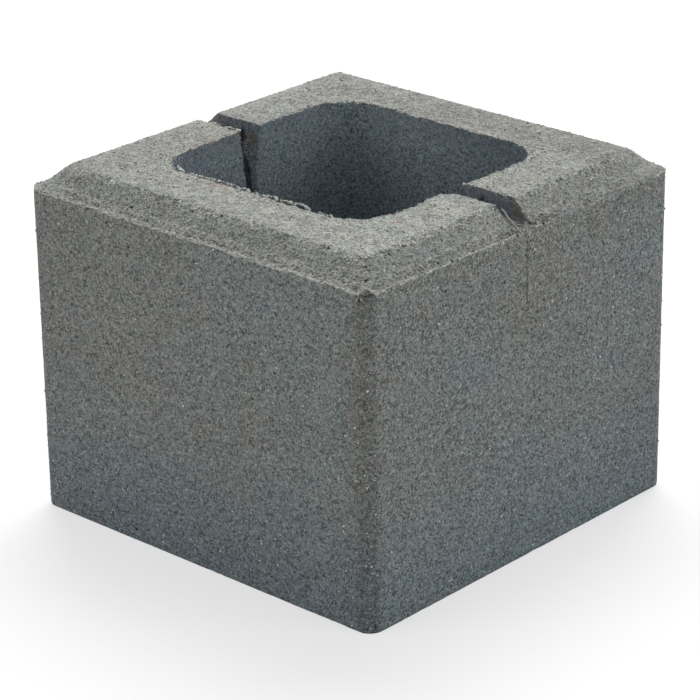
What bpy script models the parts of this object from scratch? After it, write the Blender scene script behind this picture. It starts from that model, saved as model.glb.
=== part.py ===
"""Hollow concrete fence block: a square pillar block, cast in one piece.

The block stands on its base, with +Z up and its origin at the centre of the base.
Above a narrow flat lip its crown is bevelled on all four sides, as the pressing shoe
leaves it. The hollow is drafted, so that the core draws out upwards. One groove runs
along X across the tops of two opposite walls, and at its inner ends a wedge-shaped
notch runs down the hollow's faces and dies out.
"""

import math

import bmesh
import bpy

# Driving dimensions, in metres
BLOCK_SIDE = 0.250
BLOCK_HEIGHT = 0.202
EDGE_RADIUS = 0.010

LIP_WIDTH = 0.0038
BEVEL_RUN = 0.0120
BEVEL_DROP = 0.0120
CROWN_RADIUS = 0.0045

WALL_AT_TOP = 0.0495
HOLLOW_RADIUS = 0.0250
HOLLOW_DRAFT = math.radians(1.2)

GROOVE_WIDTH = 0.0144
GROOVE_FLOOR_WIDTH = 0.0100
GROOVE_FLOOR_ABOVE_LIP = 0.0004
GROOVE_FLOOR_RADIUS = 0.0020

NOTCH_SHOULDER = 0.0006
NOTCH_BACK_WIDTH = 0.0060
NOTCH_REACH = 0.0130
NOTCH_LENGTH = 0.0620
NOTCH_FOOT_WIDTH = 0.0026

CUTTER_OVERSHOOT = 0.0050
ARC_STEPS = 14
FILLET_STEPS = 4

# Sizes and levels that follow from them
HALF_SIDE = BLOCK_SIDE / 2
CROWN_FOOT_HALF = HALF_SIDE - LIP_WIDTH
CROWN_TOP_HALF = CROWN_FOOT_HALF - BEVEL_RUN
LIP_LEVEL = BLOCK_HEIGHT - BEVEL_DROP
HOLLOW_TOP_HALF = HALF_SIDE - WALL_AT_TOP
GROOVE_FLOOR_LEVEL = LIP_LEVEL + GROOVE_FLOOR_ABOVE_LIP
NOTCH_MOUTH_WIDTH = GROOVE_WIDTH + 2 * NOTCH_SHOULDER
NOTCH_FOOT_LEVEL = BLOCK_HEIGHT - NOTCH_LENGTH

CONCRETE_COLOUR = (0.235, 0.240, 0.235, 1.0)
CONCRETE_ROUGHNESS = 0.92
SMOOTH_BELOW = math.radians(30)


def clear_scene():
    """Remove every object that the scene starts with."""
    for item in list(bpy.data.objects):
        bpy.data.objects.remove(item, do_unlink=True)


def concrete_material():
    """Return the dull grey of dry pressed concrete."""
    material = bpy.data.materials.new("dry_concrete")
    material.use_nodes = True
    shader = material.node_tree.nodes["Principled BSDF"]
    shader.inputs["Base Color"].default_value = CONCRETE_COLOUR
    shader.inputs["Roughness"].default_value = CONCRETE_ROUGHNESS
    shader.inputs["Metallic"].default_value = 0.0
    material.diffuse_color = CONCRETE_COLOUR
    return material


def object_from_bmesh(name, bm):
    """Put a bmesh into a new object of the scene, with its faces pointing out."""
    bmesh.ops.recalc_face_normals(bm, faces=bm.faces)
    mesh = bpy.data.meshes.new(name)
    bm.to_mesh(mesh)
    bm.free()
    item = bpy.data.objects.new(name, mesh)
    bpy.context.scene.collection.objects.link(item)
    return item


def hollow_half(level):
    """Return the hollow's half-width at a level of its drafted walls."""
    return HOLLOW_TOP_HALF - (BLOCK_HEIGHT - level) * math.tan(HOLLOW_DRAFT)


def rounded_square(half, radius):
    """Return the plan points of a square with round corners, anticlockwise."""
    centre = half - radius
    points = []
    for quarter in range(4):
        start = quarter * math.pi / 2
        middle = start + math.pi / 4
        centre_x = math.copysign(centre, math.cos(middle))
        centre_y = math.copysign(centre, math.sin(middle))
        for step in range(ARC_STEPS + 1):
            angle = start + step / ARC_STEPS * math.pi / 2
            points.append((centre_x + radius * math.cos(angle),
                           centre_y + radius * math.sin(angle)))
    return points


def section_rings():
    """Return the rings up the outside, over the crown and down the hollow.

    Each is given as its half-width, its corner radius and its level.
    """
    return [
        (HALF_SIDE, EDGE_RADIUS, 0.0),
        (HALF_SIDE, EDGE_RADIUS, LIP_LEVEL),
        (CROWN_FOOT_HALF, CROWN_RADIUS, LIP_LEVEL),
        (CROWN_TOP_HALF, CROWN_RADIUS, BLOCK_HEIGHT),
        (HOLLOW_TOP_HALF, HOLLOW_RADIUS, BLOCK_HEIGHT),
        (hollow_half(0.0), HOLLOW_RADIUS, 0.0),
    ]


def cast_body():
    """Return the block before its groove, lofted round its closed run of rings."""
    bm = bmesh.new()
    rings = []
    for half, radius, level in section_rings():
        rings.append([bm.verts.new((x, y, level)) for x, y in rounded_square(half, radius)])
    for ring, following in zip(rings, rings[1:] + rings[:1]):
        for i in range(len(ring)):
            bm.faces.new((ring[i - 1], ring[i], following[i], following[i - 1]))
    body = object_from_bmesh("fence_block", bm)
    body.data.shade_smooth()
    body.data.set_sharp_from_angle(angle=SMOOTH_BELOW)
    return body


def groove_outline():
    """Return the groove's section in Y and Z: sloped sides and a filleted floor."""
    half_top = GROOVE_WIDTH / 2
    half_floor = GROOVE_FLOOR_WIDTH / 2
    flare = (half_top - half_floor) / (BLOCK_HEIGHT - GROOVE_FLOOR_LEVEL)
    turn = math.pi / 2 - math.atan(flare)
    centre_y = half_floor - GROOVE_FLOOR_RADIUS * math.tan(turn / 2)
    centre_z = GROOVE_FLOOR_LEVEL + GROOVE_FLOOR_RADIUS
    right = []
    for step in range(FILLET_STEPS + 1):
        angle = turn * step / FILLET_STEPS
        right.append((centre_y + GROOVE_FLOOR_RADIUS * math.sin(angle),
                      centre_z - GROOVE_FLOOR_RADIUS * math.cos(angle)))
    right.append((half_top + flare * CUTTER_OVERSHOOT, BLOCK_HEIGHT + CUTTER_OVERSHOOT))
    left = [(-y, z) for y, z in reversed(right)]
    return right + left


def groove_cutter():
    """Return the prism that cuts the groove across both walls."""
    bm = bmesh.new()
    reach = HALF_SIDE + CUTTER_OVERSHOOT
    section = bm.faces.new([bm.verts.new((-reach, y, z)) for y, z in groove_outline()])
    swept = bmesh.ops.extrude_face_region(bm, geom=[section])
    moved = [item for item in swept["geom"] if isinstance(item, bmesh.types.BMVert)]
    bmesh.ops.translate(bm, verts=moved, vec=(2 * reach, 0.0, 0.0))
    return object_from_bmesh("groove_cutter", bm)


def notch_cutter(side):
    """Return the wedge that notches the hollow's face on one side of X.

    At the block's top it is a shoulder wider than the groove and reaches NOTCH_REACH
    into the wall, flaring from its back to its mouth. Downwards it grows narrow and
    shallow, until its back meets the drafted face at the foot.
    """
    rise = NOTCH_LENGTH + CUTTER_OVERSHOOT
    growth = rise / NOTCH_LENGTH
    flare = (NOTCH_MOUTH_WIDTH - NOTCH_BACK_WIDTH) / 2 / NOTCH_REACH
    foot_half = NOTCH_FOOT_WIDTH / 2
    foot_back = hollow_half(NOTCH_FOOT_LEVEL)
    head_half = foot_half + growth * (NOTCH_BACK_WIDTH / 2 - foot_half)
    head_back = foot_back + growth * (HOLLOW_TOP_HALF + NOTCH_REACH - foot_back)
    mouth = foot_back - CUTTER_OVERSHOOT
    bm = bmesh.new()
    for level, half, back in ((NOTCH_FOOT_LEVEL, foot_half, foot_back),
                              (NOTCH_FOOT_LEVEL + rise, head_half, head_back)):
        mouth_half = half + flare * (back - mouth)
        for x, y in ((back, half), (mouth, mouth_half)):
            bm.verts.new((side * x, y, level))
            bm.verts.new((side * x, -y, level))
    bmesh.ops.convex_hull(bm, input=bm.verts)
    return object_from_bmesh("notch_cutter_right" if side > 0 else "notch_cutter_left", bm)


def cut(body, cutter):
    """Subtract a cutter from the body, and keep the cutter as a hidden guide."""
    modifier = body.modifiers.new(cutter.name, "BOOLEAN")
    modifier.operation = "DIFFERENCE"
    modifier.solver = "EXACT"
    modifier.object = cutter
    cutter.hide_render = True
    cutter.display_type = "WIRE"


def build():
    """Model the block."""
    clear_scene()
    block = cast_body()
    block.data.materials.append(concrete_material())
    cut(block, groove_cutter())
    for side in (-1, 1):
        cut(block, notch_cutter(side))


build()
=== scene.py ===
"""The looks of a hollow concrete fence block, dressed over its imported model.

The block is one casting of dry pressed concrete. This script gives it what the mould,
the pressing shoe and handling leave: open grain, pits, worn arrises, the fines that
squeeze out along the lip and the rim of the hollow, and the loose grit on the edges.
All sizes are in metres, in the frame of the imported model, where -Y and +X are the two
faces that the photograph shows.
"""

import logging
import math
from dataclasses import dataclass, field
from enum import Enum
from functools import reduce

import bmesh
import bpy
import numpy as np
from mathutils import Matrix, Vector
from mathutils.bvhtree import BVHTree


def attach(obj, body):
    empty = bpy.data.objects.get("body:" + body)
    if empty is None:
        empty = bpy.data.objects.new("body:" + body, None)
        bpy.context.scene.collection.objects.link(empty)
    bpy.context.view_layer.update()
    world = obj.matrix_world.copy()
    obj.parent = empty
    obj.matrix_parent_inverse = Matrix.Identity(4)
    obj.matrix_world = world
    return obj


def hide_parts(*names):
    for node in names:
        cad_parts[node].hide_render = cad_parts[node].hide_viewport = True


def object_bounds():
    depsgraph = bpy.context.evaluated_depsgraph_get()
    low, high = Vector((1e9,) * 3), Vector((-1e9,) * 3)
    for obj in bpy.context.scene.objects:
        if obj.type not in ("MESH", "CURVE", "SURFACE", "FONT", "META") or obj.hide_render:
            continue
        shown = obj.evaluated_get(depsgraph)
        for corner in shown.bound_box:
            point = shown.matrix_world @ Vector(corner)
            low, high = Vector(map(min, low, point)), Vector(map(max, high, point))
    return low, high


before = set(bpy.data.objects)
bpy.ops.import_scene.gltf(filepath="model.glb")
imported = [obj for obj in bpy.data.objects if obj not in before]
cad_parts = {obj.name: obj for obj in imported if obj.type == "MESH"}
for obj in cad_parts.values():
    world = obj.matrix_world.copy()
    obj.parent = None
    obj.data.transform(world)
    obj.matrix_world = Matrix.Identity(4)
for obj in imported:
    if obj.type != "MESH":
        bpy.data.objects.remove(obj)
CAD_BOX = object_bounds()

LOG = logging.getLogger("fence_block")
BODY = "root"
NODE = "fence_block"
HASH_FACTORS = (0x8DA6B343, 0xD8163841, 0xCB1AB31F)
HASH_ROUNDS = ((16, 0x7FEB352D), (15, 0x846CA68B))
SHEEN = 0.25
WHITE = (1.0, 1.0, 1.0)

Pair = tuple[float, float]
Triple = tuple[float, float, float]
Faces = list[tuple[int, ...]] | list[list[int]]
Layers = tuple[tuple[float, int, float], ...]
Socket = bpy.types.NodeSocket


@dataclass(frozen=True)
class Scatter:
    """Round pits scattered through space, in cells that hold one pit or none."""

    depth: float
    spacing: float
    share: float
    radii: Pair
    channel: int


@dataclass(frozen=True)
class Noise:
    """Repeatable noise in space. One seed always gives the same numbers."""

    seed: int

    def of_cell(self, cells: np.ndarray, channel: int) -> np.ndarray:
        """Give each whole-number cell one number.

        Args:
            cells: Cell indices, three to a row.
            channel: Which independent set of numbers to draw from.

        Returns:
            A number from 0 to 1 for each row.
        """
        whole = cells.astype(np.int64).astype(np.uint32)
        x, y, z = (whole[..., axis] * np.uint32(factor) for axis, factor in enumerate(HASH_FACTORS))
        mixed = x ^ y ^ z ^ np.uint32((self.seed * 0x9E3779B1 + channel * 0x85EBCA6B) & 0xFFFFFFFF)
        for shift, factor in HASH_ROUNDS:
            mixed ^= mixed >> np.uint32(shift)
            mixed *= np.uint32(factor)
        mixed ^= mixed >> np.uint32(16)
        return mixed / 4294967295.0

    def smooth(self, points: np.ndarray, wavelength: float, channel: int) -> np.ndarray:
        """Give each point a smooth random value.

        Args:
            points: Positions, three to a row.
            wavelength: The distance over which the value changes.
            channel: Which independent set of numbers to draw from.

        Returns:
            A value from -1 to 1 for each point.
        """
        scaled = points / wavelength
        base = np.floor(scaled)
        part = fade(scaled - base, 0.0, 1.0)
        total = np.zeros(len(points))
        for corner in np.ndindex(2, 2, 2):
            weight = np.ones(len(points))
            for axis, side in enumerate(corner):
                weight *= part[:, axis] if side else 1.0 - part[:, axis]
            total += weight * self.of_cell(base + np.array(corner), channel)
        return 2.0 * total - 1.0

    def layered(self, points: np.ndarray, layers: Layers) -> np.ndarray:
        """Add up layers of smooth noise, each a wavelength, a channel and a strength."""
        return sum(strength * self.smooth(points, size, channel) for size, channel, strength in layers)

    def pits(self, points: np.ndarray, scatter: Scatter) -> np.ndarray:
        """Scatter round pits through space and measure how deep they are at each point.

        Args:
            points: Positions, three to a row.
            scatter: The pits. They draw from five sets of numbers, of which it names the first.

        Returns:
            The full depth at the middle of a pit, falling to 0 at its edge and beyond.
        """
        home = np.floor(points / scatter.spacing)
        low, high = scatter.radii
        channel = scatter.channel
        deepest = np.zeros(len(points))
        for offset in np.ndindex(3, 3, 3):
            cell = home + np.array(offset) - 1.0
            centre = np.stack([self.of_cell(cell, channel + axis) for axis in range(3)], axis=1)
            away = np.linalg.norm(points - (cell + centre) * scatter.spacing, axis=1)
            radius = low + (high - low) * self.of_cell(cell, channel + 4) ** 2
            held = self.of_cell(cell, channel + 3) < scatter.share
            deepest = np.maximum(deepest, held * np.clip(1.0 - (away / radius) ** 2, 0.0, 1.0))
        return deepest * scatter.depth


def fade(values: np.ndarray, low: float, high: float) -> np.ndarray:
    """Return 0 at low and 1 at high, with a smooth step between."""
    part = np.clip((values - low) / (high - low), 0.0, 1.0)
    return part * part * (3.0 - 2.0 * part)


@dataclass(frozen=True)
class Mark:
    """One pit, chip or fleck that has its own place on the block."""

    place: Triple
    radius: float
    depth: float = 0.0


def marks(*rows: tuple[float, ...]) -> tuple[Mark, ...]:
    """Turn rows of x, y, z, radius and depth, all in millimetres, into marks."""
    metres = [[number / 1000 for number in row] for row in rows]
    return tuple(Mark(tuple(row[:3]), *row[3:]) for row in metres)


# The pits that are dented into the casting; each also holds a black lump of painted shade.
PITS = marks(
    # The front corner of the crown
    (116.5, -117.0, 194.2, 1.5, 0.9), (111.8, -112.3, 198.9, 1.4, 0.8), (109.9, -116.5, 194.7, 1.0, 0.5),
    (84.7, -108.8, 201.8, 1.3, 0.8), (115.6, -94.2, 195.6, 1.2, 0.7), (109.8, -95.9, 201.4, 1.1, 0.6),
    (110.7, -92.7, 200.5, 1.1, 0.6), (111.0, -81.1, 200.2, 1.2, 0.7), (111.5, -85.9, 199.7, 1.0, 0.6),
    # The top bed
    (83.9, -107.9, 202.0, 1.1, 0.6), (99.4, -68.5, 202.0, 1.0, 0.5), (-49.8, -97.3, 202.0, 1.3, 0.7),
    (-57.6, -95.6, 202.0, 1.0, 0.5), (34.3, 89.4, 202.0, 1.0, 0.5), (39.2, 94.7, 202.0, 1.0, 0.5),
    (37.3, 106.7, 202.0, 1.1, 0.5), (88.4, 11.0, 202.0, 1.0, 0.5), (85.4, 18.7, 202.0, 0.9, 0.5),
    (-96.3, 97.7, 202.0, 1.5, 0.8),
    # The -Y bevel, and the lip over the +X face
    (-10.2, -112.1, 199.1, 1.0, 0.6), (-33.9, -120.9, 190.5, 1.4, 0.8), (-49.8, -117.7, 193.5, 1.3, 0.7),
    (123.7, -59.3, 190.3, 1.3, 0.8), (123.7, -73.2, 189.8, 1.2, 0.8), (123.7, 8.9, 190.3, 1.5, 0.9),
    (123.7, 14.1, 190.2, 1.4, 0.9), (123.5, -0.5, 190.5, 1.2, 0.7),
    # The +X face, most of them down the seam under the groove
    (125.0, 0.0, 181.9, 1.3, 0.6), (125.0, -1.3, 175.9, 1.0, 0.5), (125.0, -0.1, 152.9, 0.9, 0.4),
    (125.0, 0.0, 148.1, 1.0, 0.4), (125.0, 25.7, 183.8, 1.1, 0.5), (125.0, 82.0, 148.2, 1.3, 0.6),
    (125.0, -64.8, 166.6, 1.4, 0.6),
    # The -Y face
    (119.5, -124.7, 185.6, 1.4, 0.6), (-45.7, -125.0, 173.5, 1.4, 0.6), (-83.3, -125.0, 18.6, 1.2, 0.5),
    (-48.9, -125.0, 7.0, 1.4, 0.6),
    # Smaller ones here and there
    (-42.5, -83.1, 202.0, 1.1, 0.6), (-42.9, -93.2, 202.0, 1.0, 0.5), (-76.9, -79.5, 202.0, 1.0, 0.5),
    (16.6, -125.0, 168.2, 1.1, 0.5), (111.8, -79.4, 202.0, 1.1, 0.6), (119.3, 3.6, 191.9, 1.1, 0.6),
    (120.7, 5.8, 190.5, 1.0, 0.6), (121.8, -68.8, 189.4, 1.1, 0.6), (125.0, -8.5, 189.0, 1.1, 0.6),
    (125.0, 0.5, 164.0, 0.8, 0.4), (125.0, 18.5, 168.6, 1.1, 0.5))
CHIPS = marks((123.0, -123.8, 189.2, 4.6, 2.4), (76.5, -8.2, 202.0, 4.5, 2.2))
FLECKS = marks(
    (-41.3, -125.0, 184.1, 1.0), (-92.6, -124.7, 189.3, 1.2), (-13.1, -116.1, 195.1, 0.9),
    (125.0, 5.8, 176.7, 1.3), (125.0, -31.0, 176.6, 1.0), (125.0, 83.1, 176.4, 1.1),
    (125.0, 86.8, 144.4, 1.1), (122.6, -107.3, 191.4, 1.2))


@dataclass(frozen=True)
class BlockPlan:
    """The block's driving sizes, and distances measured from its outlines."""

    half_side: float = 0.125
    height: float = 0.202
    edge_radius: float = 0.010
    lip_width: float = 0.0038
    bevel_run: float = 0.0120
    lip_level: float = 0.190
    hollow_half: float = 0.0755
    hollow_radius: float = 0.0250
    hollow_draft: float = math.radians(1.2)
    notch_reach: float = 0.0130
    notch_foot: float = 0.140

    @staticmethod
    def outside(co: np.ndarray, half: np.ndarray | float, radius: float) -> np.ndarray:
        """Measure the distance in plan outside a square with round corners.

        Args:
            co: The points.
            half: Half the square's side.
            radius: Its corner radius.

        Returns:
            The distance of each point, which is negative inside the square.
        """
        far_x = np.abs(co[:, 0]) - (half - radius)
        far_y = np.abs(co[:, 1]) - (half - radius)
        corner = np.hypot(np.maximum(far_x, 0.0), np.maximum(far_y, 0.0))
        return corner + np.minimum(np.maximum(far_x, far_y), 0.0) - radius

    def outline(self, spacing: float) -> list[Vector]:
        """Walk round the outer edge in plan.

        Args:
            spacing: The distance between two points.

        Returns:
            The points at level 0, anticlockwise from the left end of the front-left side.
        """
        centre = self.half_side - self.edge_radius
        straight = max(2, int(2.0 * centre / spacing))
        bend = max(2, int(self.edge_radius * math.pi / 2.0 / spacing))
        side = [Vector((-centre + 2.0 * centre * step / straight, -self.half_side, 0.0))
                for step in range(straight)]
        for step in range(bend):
            angle = step / bend * math.pi / 2.0
            side.append(Vector((centre + self.edge_radius * math.sin(angle),
                                -centre - self.edge_radius * math.cos(angle), 0.0)))
        turns = [Matrix.Rotation(quarter * math.pi / 2.0, 3, "Z") for quarter in range(4)]
        return [turn @ point for turn in turns for point in side]

    def depth(self, co: np.ndarray) -> np.ndarray:
        """Return how far each point lies inside the outer faces."""
        return -self.outside(co, self.half_side, self.edge_radius)

    def wall(self, co: np.ndarray) -> np.ndarray:
        """Return how far each point lies behind the hollow's drafted faces."""
        half = self.hollow_half - (self.height - co[:, 2]) * math.tan(self.hollow_draft)
        return self.outside(co, half, self.hollow_radius)

    @property
    def bed_inset(self) -> float:
        """Return how far the top bed starts inside the outer faces."""
        return self.lip_width + self.bevel_run

    @staticmethod
    def calm(co: np.ndarray) -> np.ndarray:
        """Return how cleanly the edge near each point left the mould, from 0 to 1."""
        back = np.maximum(fade(co[:, 1], 0.092, 0.102), fade(-co[:, 0], 0.094, 0.104))
        return np.maximum(0.85 * back, 0.90 * fade(-co[:, 2], -0.0080, -0.0045))


PLAN = BlockPlan()
HALF = PLAN.half_side
LIP = PLAN.lip_level
TOP = PLAN.height
BORE = PLAN.hollow_half


class Operation(Enum):
    """What a Math node does."""

    ADD = "ADD"
    SUBTRACT = "SUBTRACT"
    MULTIPLY = "MULTIPLY"
    DIVIDE = "DIVIDE"
    ABSOLUTE = "ABSOLUTE"
    MAXIMUM = "MAXIMUM"


class Blend(Enum):
    """How a second colour goes over a first."""

    OVER = "MIX"
    MULTIPLY = "MULTIPLY"


class Ray(Enum):
    """The kinds of ray that the studio tells apart."""

    CAMERA = "Is Camera Ray"
    GLOSSY = "Is Glossy Ray"
    TRANSMISSION = "Is Transmission Ray"


class Reading:
    """A number that varies over a surface. Arithmetic on it wires Math nodes."""

    def __init__(self, bench: "Bench", socket: Socket) -> None:
        """Wrap one output socket of the bench."""
        self.bench = bench
        self.socket = socket

    def wire(self, operation: Operation, first: "Reading | float", second: "Reading | float" = 0.0,
             clamp: bool = False) -> "Reading":
        """Add one Math node.

        Args:
            operation: What it does.
            first: Its first value.
            second: Its second value.
            clamp: Whether the result is kept between 0 and 1.

        Returns:
            The node's result.
        """
        settings = {"operation": operation.value, "use_clamp": clamp}
        return self.bench.add("ShaderNodeMath", settings, {0: first, 1: second})

    def __add__(self, other: "Reading | float") -> "Reading":
        """Add."""
        return self.wire(Operation.ADD, self, other)

    def __sub__(self, other: "Reading | float") -> "Reading":
        """Subtract."""
        return self.wire(Operation.SUBTRACT, self, other)

    def __rsub__(self, other: "Reading | float") -> "Reading":
        """Subtract this from a number."""
        return self.wire(Operation.SUBTRACT, other, self)

    def __mul__(self, other: "Reading | float") -> "Reading":
        """Multiply."""
        return self.wire(Operation.MULTIPLY, self, other)

    __radd__ = __add__
    __rmul__ = __mul__

    def __truediv__(self, other: "Reading | float") -> "Reading":
        """Divide."""
        return self.wire(Operation.DIVIDE, self, other)

    def __abs__(self) -> "Reading":
        """Drop the sign."""
        return self.wire(Operation.ABSOLUTE, self)

    def most(self, other: "Reading | float") -> "Reading":
        """Return the larger of the two."""
        return self.wire(Operation.MAXIMUM, self, other)

    def held(self) -> "Reading":
        """Keep the value between 0 and 1."""
        return self.wire(Operation.ADD, self, clamp=True)

    def step(self, start: "Reading | float", full: "Reading | float") -> "Reading":
        """Return 0 at the start and 1 where it is full, with a smooth step between."""
        sockets = {"Value": self, "From Min": start, "From Max": full}
        return self.bench.add("ShaderNodeMapRange", {"interpolation_type": "SMOOTHSTEP"}, sockets)


class Bench:
    """The bench on which the nodes of one material, or of the world, are wired."""

    def __init__(self, owner: bpy.types.Material | bpy.types.World) -> None:
        """Start with no nodes."""
        owner.use_nodes = True
        owner.node_tree.nodes.clear()
        self.owner = owner

    @classmethod
    def material(cls, name: str) -> "Bench":
        """Start a new material."""
        return cls(bpy.data.materials.new(name))

    def node(self, kind: str, settings: dict[str, object], sockets: dict[str | int, object]
             ) -> bpy.types.Node:
        """Add one node.

        Args:
            kind: The node's type.
            settings: Its properties, which are set first.
            sockets: Its inputs by name or index, each a value, a Reading or a socket.

        Returns:
            The node.
        """
        made = self.owner.node_tree.nodes.new(kind)
        for name, value in settings.items():
            setattr(made, name, value)
        for key, value in sockets.items():
            source = value.socket if isinstance(value, Reading) else value
            if isinstance(source, Socket):
                self.owner.node_tree.links.new(source, made.inputs[key])
            else:
                made.inputs[key].default_value = source
        return made

    def add(self, kind: str, settings: dict[str, object], sockets: dict[str | int, object],
            output: str | int = 0) -> Reading:
        """Add one node and return one of its outputs as a Reading."""
        return Reading(self, self.node(kind, settings, sockets).outputs[output])

    def place(self) -> Socket:
        """Return the position on the object, in metres."""
        return self.node("ShaderNodeTexCoord", {}, {}).outputs["Object"]

    def parts(self, vector: Socket) -> tuple[Reading, ...]:
        """Split a vector or a colour in three."""
        made = self.node("ShaderNodeSeparateXYZ", {}, {0: vector})
        return tuple(Reading(self, output) for output in made.outputs)

    def noise(self, place: Socket, size: float, detail: float = 2.0, roughness: float = 0.5) -> Reading:
        """Add soft noise.

        Args:
            place: The position to read it at.
            size: The size of one grain.
            detail: How many finer layers it has.
            roughness: How strong they are.

        Returns:
            Noise centred on 0, mostly between -0.5 and 0.5.
        """
        sockets = {"Vector": place, "Scale": 1.0 / size, "Detail": detail, "Roughness": roughness}
        return self.add("ShaderNodeTexNoise", {"noise_dimensions": "3D"}, sockets) - 0.5

    def cells(self, place: Socket, size: float) -> tuple[Reading, ...]:
        """Add packed grains.

        Args:
            place: The position to read them at.
            size: The size of one grain.

        Returns:
            The distance from the nearest grain's middle in grain sizes, and three random
            numbers that each grain has to itself.
        """
        made = self.node("ShaderNodeTexVoronoi", {"feature": "F1"},
                         {"Vector": place, "Scale": 1.0 / size, "Randomness": 1.0})
        return (Reading(self, made.outputs["Distance"]), *self.parts(made.outputs["Color"]))

    def spots(self, place: Socket, size: float, share: float, radii: Pair, soft: float) -> Reading:
        """Scatter round spots.

        Args:
            place: The position to read them at.
            size: The spacing of the cells, each of which may hold a spot.
            share: The share of cells that do.
            radii: The smallest and the largest radius, in cell sizes.
            soft: The width of a spot's soft edge, in cell sizes.

        Returns:
            1 inside a spot and 0 outside.
        """
        away, chance, spread, _ = self.cells(place, size)
        radius = spread * (radii[1] - radii[0]) + radii[0]
        return away.step(radius, radius - soft) * (share - chance).step(0.0, 0.02)

    def distance(self, place: Socket, point: Triple) -> Reading:
        """Return how far the position lies from a point."""
        return self.add("ShaderNodeVectorMath", {"operation": "DISTANCE"}, {0: place, 1: point}, "Value")

    def mix(self, factor: Reading | float, first: object, second: object,
            blend: Blend = Blend.OVER) -> Socket:
        """Mix two colours.

        Args:
            factor: How much of the second colour shows.
            first: A colour or a colour socket.
            second: Another.
            blend: How the second goes over the first.

        Returns:
            The mixed colour's socket.
        """
        settings = {"data_type": "RGBA", "blend_type": blend.value, "clamp_factor": True}
        return self.node("ShaderNodeMix", settings, {0: factor, 6: first, 7: second}).outputs[2]

    def scaled(self, colour: Socket, tone: Reading) -> Socket:
        """Make a colour lighter or darker."""
        made = self.node("ShaderNodeVectorMath", {"operation": "SCALE"}, {0: colour, 3: tone})
        return made.outputs[0]

    def stone(self, colour: Socket, roughness: Reading | float, height: Reading | None = None,
              bump: float = 0.0) -> bpy.types.Material:
        """Finish the material as dull stone.

        Args:
            colour: Its colour.
            roughness: Its roughness.
            height: The relief that is finer than the mesh, if it has any.
            bump: How deep a relief of 1 is.

        Returns:
            The material.
        """
        sockets = {"Base Color": colour, "Roughness": roughness, "Specular IOR Level": SHEEN}
        if height is not None:
            relief = {"Strength": 1.0, "Distance": bump, "Height": height}
            sockets["Normal"] = self.node("ShaderNodeBump", {}, relief).outputs["Normal"]
        return self.finish("ShaderNodeOutputMaterial", "ShaderNodeBsdfPrincipled", sockets)

    def split(self, rays: tuple[Ray, ...], others: Socket, named: Socket) -> dict[int, object]:
        """Choose between two shaders by the kind of ray.

        Args:
            rays: The kinds that are named.
            others: The shader that all other rays see.
            named: The shader that the named ones see.

        Returns:
            The inputs of a Mix Shader.
        """
        kinds = self.node("ShaderNodeLightPath", {}, {}).outputs
        seen = reduce(Reading.most, [Reading(self, kinds[ray.value]) for ray in rays])
        return {0: seen, 1: others, 2: named}

    def finish(self, output: str, kind: str, sockets: dict[str | int, object]) -> bpy.types.ID:
        """Add the last shader and send it to the output.

        Args:
            output: The type of the output node.
            kind: The type of the shader.
            sockets: The shader's inputs.

        Returns:
            The material or the world.
        """
        self.node(output, {}, {"Surface": self.node(kind, {}, sockets).outputs[0]})
        return self.owner


def rgba(colour: Triple) -> tuple[float, float, float, float]:
    """Return a colour with full alpha."""
    return (*colour, 1.0)


class Along(Enum):
    """The coordinates that tell the block's parts from each other."""

    X = "x"
    Y = "y"
    Z = "z"
    OFF_X = "the size of x"
    OFF_Y = "the size of y"
    OFF_STAIN = "the distance in y from the brownish stain under the groove"
    OUT = "the larger of the sizes of x and y"
    ROUND = "the sizes of x and y added up"
    SUM = "x plus y"
    DIFFERENCE = "x minus y"


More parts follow.
